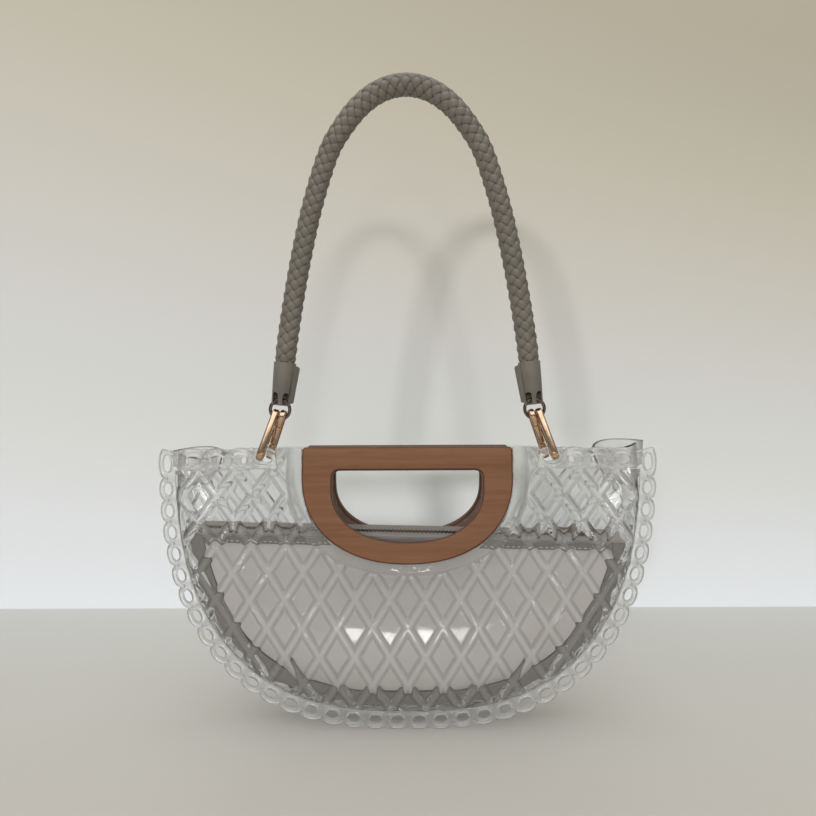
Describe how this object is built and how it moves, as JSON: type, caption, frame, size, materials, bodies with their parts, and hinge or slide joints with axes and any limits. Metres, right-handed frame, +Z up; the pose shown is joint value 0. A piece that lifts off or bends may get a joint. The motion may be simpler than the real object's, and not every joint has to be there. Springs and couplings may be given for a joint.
{
  "type": "clear handbag",
  "caption": "Clear moulded half-moon handbag with scalloped eyelet rims, wooden D handles, a braided shoulder strap on snap hooks, and a zipped cloth pouch inside.",
  "frame": {"origin": "on the floor under the middle of the bag, half way between its front and back rims", "axes": "+Z up, +Y from the front shell to the back shell, +X to the right of the front view"},
  "size_m": [0.3194, 0.059, 0.4279],
  "materials": {
    "clear_pvc": "clear moulded PVC, glossy",
    "wood": "satin varnished brown wood",
    "braid": "round braid of grey cords",
    "leather": "grey leather",
    "bronze": "dark bronze plating",
    "gold": "light gold plating",
    "pouch_cloth": "light warm grey cloth",
    "pouch_edging": "darker grey edging and zip tape",
    "brass": "antique brass"
  },
  "bodies": {
    "bag": {"front_shell": "clear_pvc", "back_shell": "clear_pvc", "gusset": "clear_pvc", "front_handle": "wood", "back_handle": "wood", "strap": "braid", "strap_cap_left": "leather", "strap_cap_right": "leather", "strap_ring_left": "bronze", "strap_ring_right": "bronze", "hook_front_left": "gold", "hook_front_right": "gold", "hook_back_left": "gold", "hook_back_right": "gold", "pouch_front": "pouch_cloth", "pouch_back": "pouch_cloth", "pouch_gusset": "pouch_edging", "pouch_zip": "pouch_edging", "zip_pull": "brass"},
    "gate_front_left": {"gate_front_left": "gold"},
    "gate_front_right": {"gate_front_right": "gold"},
    "gate_back_left": {"gate_back_left": "gold"},
    "gate_back_right": {"gate_back_right": "gold"}
  },
  "joints": [
    {"name": "gate_front_left_hinge", "type": "hinge", "parent": "bag", "child": "gate_front_left", "pos_m": [-0.09063, 0.00087, 0.1936], "axis": [-0.9516, 0, 0.3074], "range_deg": [0, 20], "stiffness_Nm_per_rad": 0.01},
    {"name": "gate_front_right_hinge", "type": "hinge", "parent": "bag", "child": "gate_front_right", "pos_m": [0.09063, 0.00087, 0.1936], "axis": [-0.9516, 0, -0.3074], "range_deg": [0, 20], "stiffness_Nm_per_rad": 0.01},
    {"name": "gate_back_left_hinge", "type": "hinge", "parent": "bag", "child": "gate_back_left", "pos_m": [-0.08623, -0.00115, 0.19348], "axis": [0.9353, 0, -0.3539], "range_deg": [0, 20], "stiffness_Nm_per_rad": 0.01},
    {"name": "gate_back_right_hinge", "type": "hinge", "parent": "bag", "child": "gate_back_right", "pos_m": [0.08623, -0.00115, 0.19348], "axis": [0.9353, 0, 0.3539], "range_deg": [0, 20], "stiffness_Nm_per_rad": 0.01}
  ]
}
